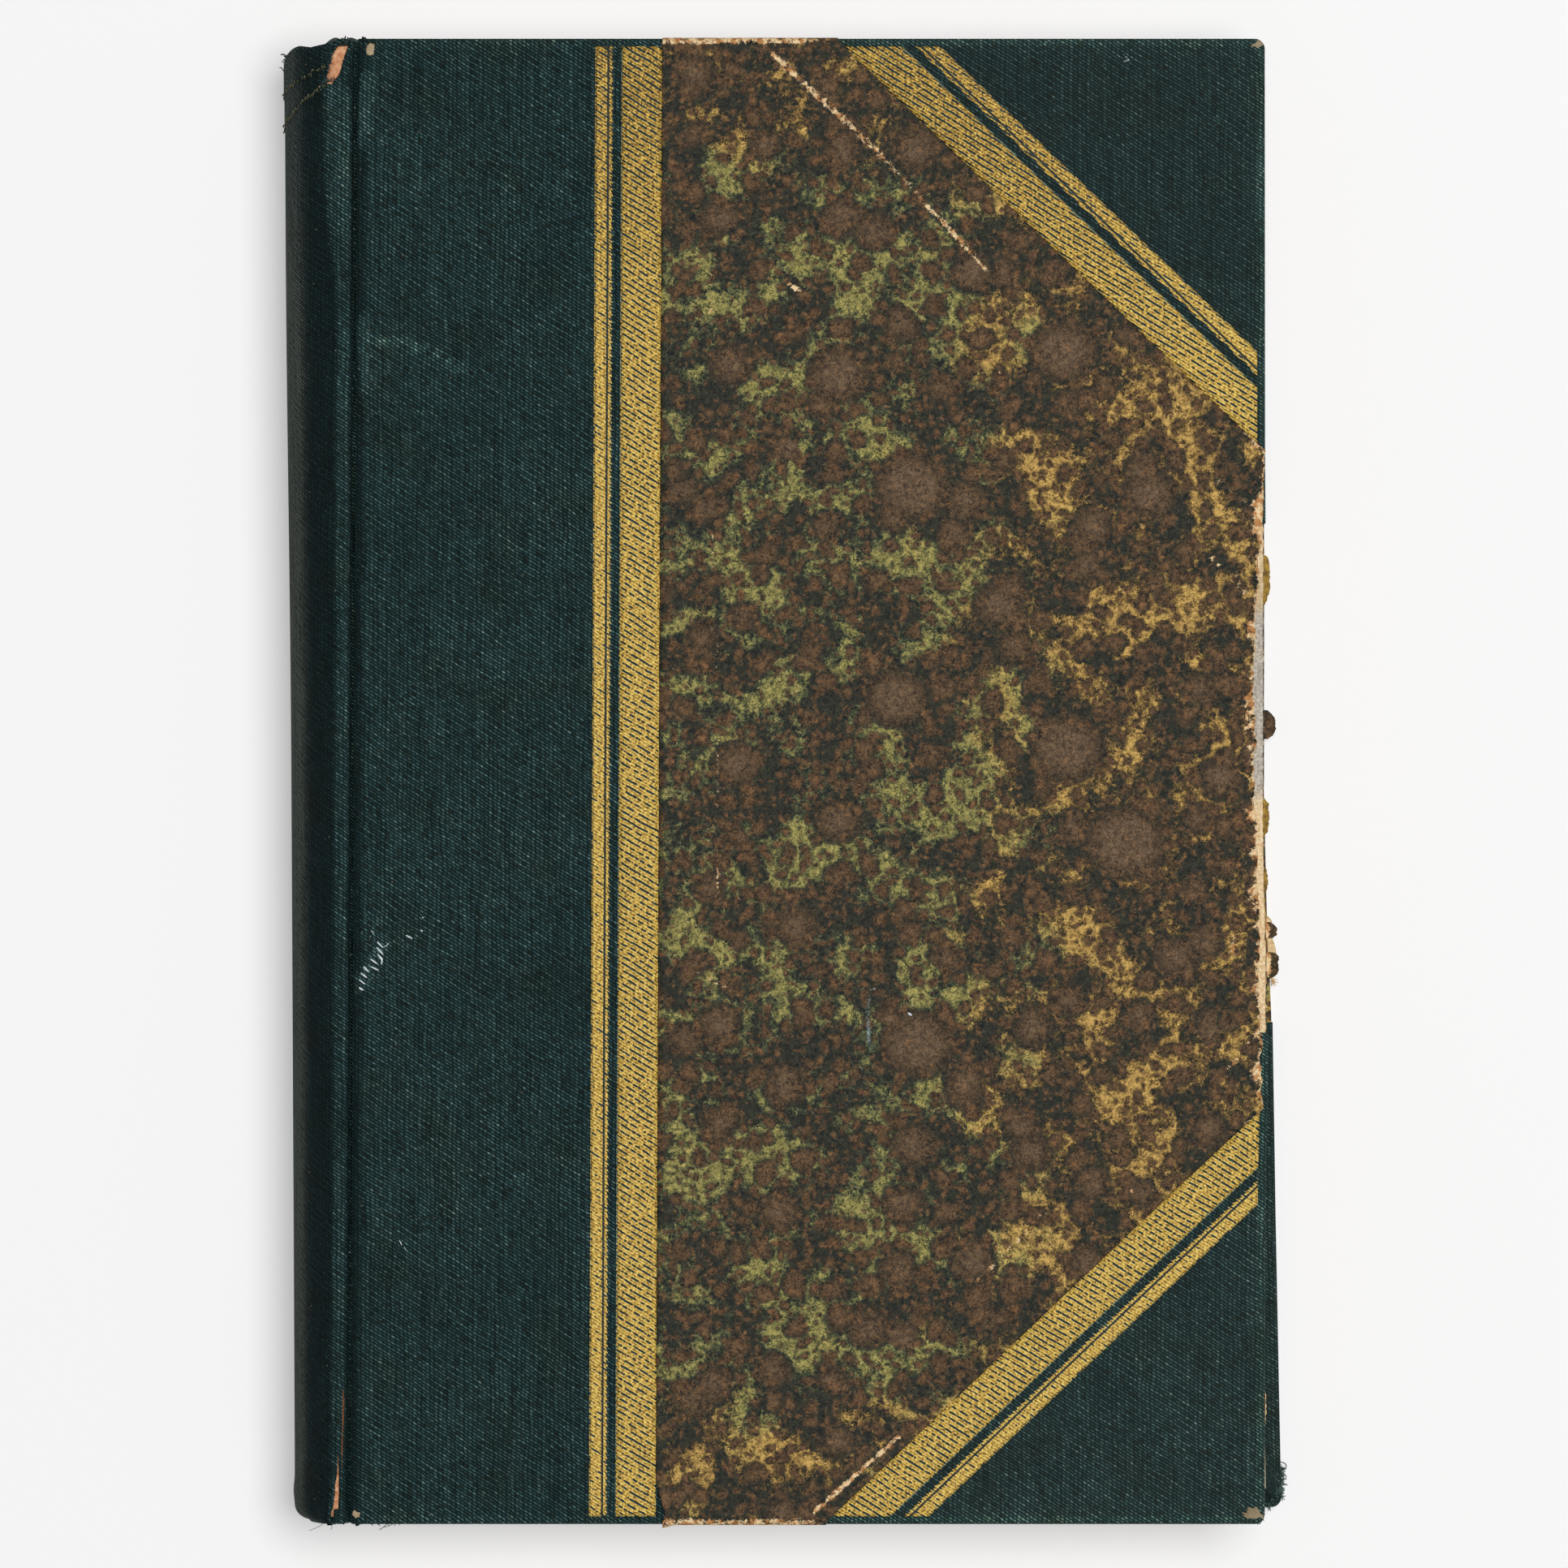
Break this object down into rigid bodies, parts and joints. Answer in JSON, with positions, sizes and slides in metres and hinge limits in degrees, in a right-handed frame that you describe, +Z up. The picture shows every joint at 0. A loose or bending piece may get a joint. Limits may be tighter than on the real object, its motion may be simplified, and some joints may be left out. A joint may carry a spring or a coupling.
{
  "type": "antique notebook",
  "caption": "Half-bound notebook with a dark cloth spine and corners, marbled paper sides and gilt lines; it lies closed and its covers open on cloth joints.",
  "frame": {"origin": "centre of the closed book's footprint, on the surface that it lies on", "axes": "+Z up from the back cover to the front cover, +Y to the head, spine on the -X side"},
  "size_m": [0.1546, 0.2299, 0.025],
  "materials": {
    "book_cloth": "fine twill, matt, worn at the edges",
    "marbled_paper": "brown spots on olive veins, smooth, rubbed",
    "gilt": "stamped foil, broken over the weave",
    "binders_board": "grey board",
    "endpaper": "plain, toned with age",
    "leaves": "trimmed edges, toned with age",
    "spine_card": "tan card",
    "lining_paper": "glued paper lining",
    "mull": "open cotton gauze, glued"
  },
  "bodies": {
    "back_cover": {"back_board": "binders_board", "back_cloth_panel": "book_cloth", "back_head_corner": "book_cloth", "back_tail_corner": "book_cloth", "back_marbled_side": "marbled_paper", "back_gilt_lines": "gilt", "back_pastedown": "endpaper"},
    "text_block": {"text_block": "leaves", "front_flyleaf": "endpaper", "back_flyleaf": "endpaper", "mull": "mull", "spine_liner": "lining_paper", "spine_inlay": "spine_card", "spine_cloth": "book_cloth"},
    "front_cover": {"front_board": "binders_board", "front_cloth_panel": "book_cloth", "front_head_corner": "book_cloth", "front_tail_corner": "book_cloth", "front_marbled_side": "marbled_paper", "front_gilt_lines": "gilt", "front_pastedown": "endpaper"}
  },
  "joints": [
    {"name": "back_joint", "type": "hinge", "parent": "back_cover", "child": "text_block", "pos_m": [-0.0633, -0.00091, 0], "axis": [0.0096, -1, 0], "range_deg": [0, 180]},
    {"name": "front_joint", "type": "hinge", "parent": "text_block", "child": "front_cover", "pos_m": [-0.06625, 0, 0.02498], "axis": [-0.0044, -1, 0], "range_deg": [0, 180]}
  ]
}
